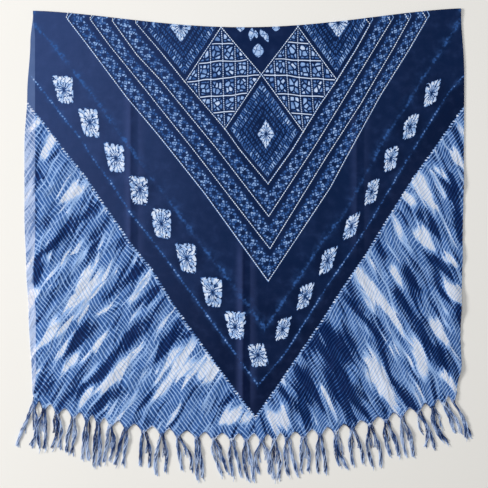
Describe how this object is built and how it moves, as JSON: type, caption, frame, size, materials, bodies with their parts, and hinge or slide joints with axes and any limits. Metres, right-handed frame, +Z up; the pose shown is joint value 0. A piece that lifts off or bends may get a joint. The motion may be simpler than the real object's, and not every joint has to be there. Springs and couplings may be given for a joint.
{
  "type": "folded fringed shawl",
  "caption": "Large tie-dyed cotton shawl with knotted fringes, folded once across its length and laid flat, fold at the far end and both fringes at the near end.",
  "frame": {"origin": "on the flat underside that rests on the surface, near the middle of the folded cloth", "axes": "+Z up from the surface; +Y from the fringed hems towards the fold; +X along the fold, to the right as seen from above with the fold at the top"},
  "size_m": [0.9566, 0.985, 0.0082],
  "materials": {
    "dyed_cloth": "matt plain-woven cotton, dyed indigo with a white stitched-resist pattern",
    "cloth_wrong_side": "wrong side of the same cotton, a little paler",
    "fringe_yarn": "knotted loose cotton yarn in uneven blues"
  },
  "bodies": {
    "root": {"cloth_upper": "dyed_cloth", "fold_turn": "dyed_cloth", "cloth_under": "cloth_wrong_side", "fringe_upper": "fringe_yarn", "fringe_under": "fringe_yarn"}
  },
  "joints": []
}
